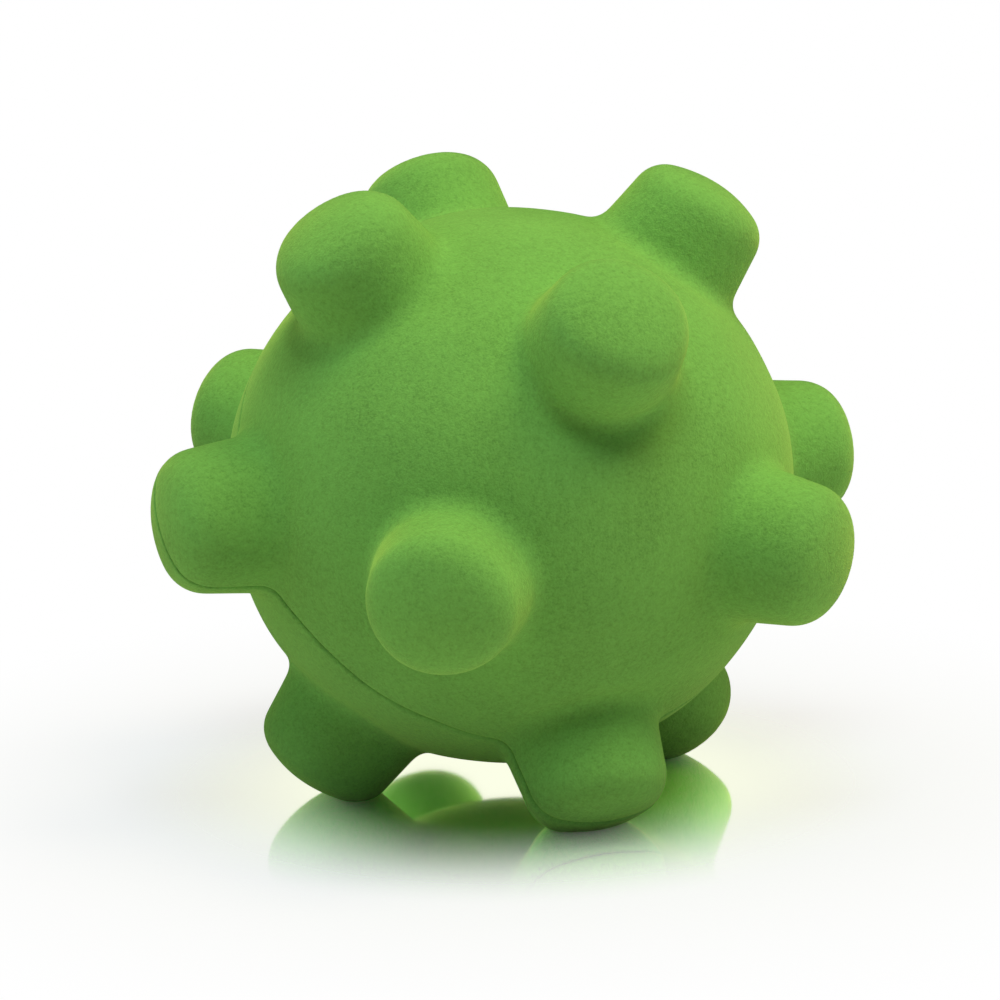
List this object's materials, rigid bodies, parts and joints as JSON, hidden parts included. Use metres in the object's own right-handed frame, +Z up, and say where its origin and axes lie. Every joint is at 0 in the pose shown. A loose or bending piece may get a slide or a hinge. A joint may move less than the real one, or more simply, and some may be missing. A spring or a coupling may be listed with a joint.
{
  "type": "sensory ball",
  "caption": "Soft foam ball with a velvety flock coat and round bumps all over, moulded in two bonded halves, to grip, squeeze and roll.",
  "frame": {"origin": "on the floor straight below the middle of the ball, at the bottom centre of the box round the whole object", "axes": "+Z up, -Y to the front, +X to the right seen from the front; the ball stands on three of its bumps and its front half faces forward and up"},
  "size_m": [0.1, 0.0864, 0.0852],
  "materials": {
    "foam": "matte moulded foam rubber, dyed right through",
    "bond": "thin film of set rubber cement",
    "flock": "short dense velvety pile"
  },
  "bodies": {
    "root": {"rear_foam": "foam", "front_foam": "foam", "bond_film": "bond", "rear_flock": "flock", "front_flock": "flock"}
  },
  "joints": []
}
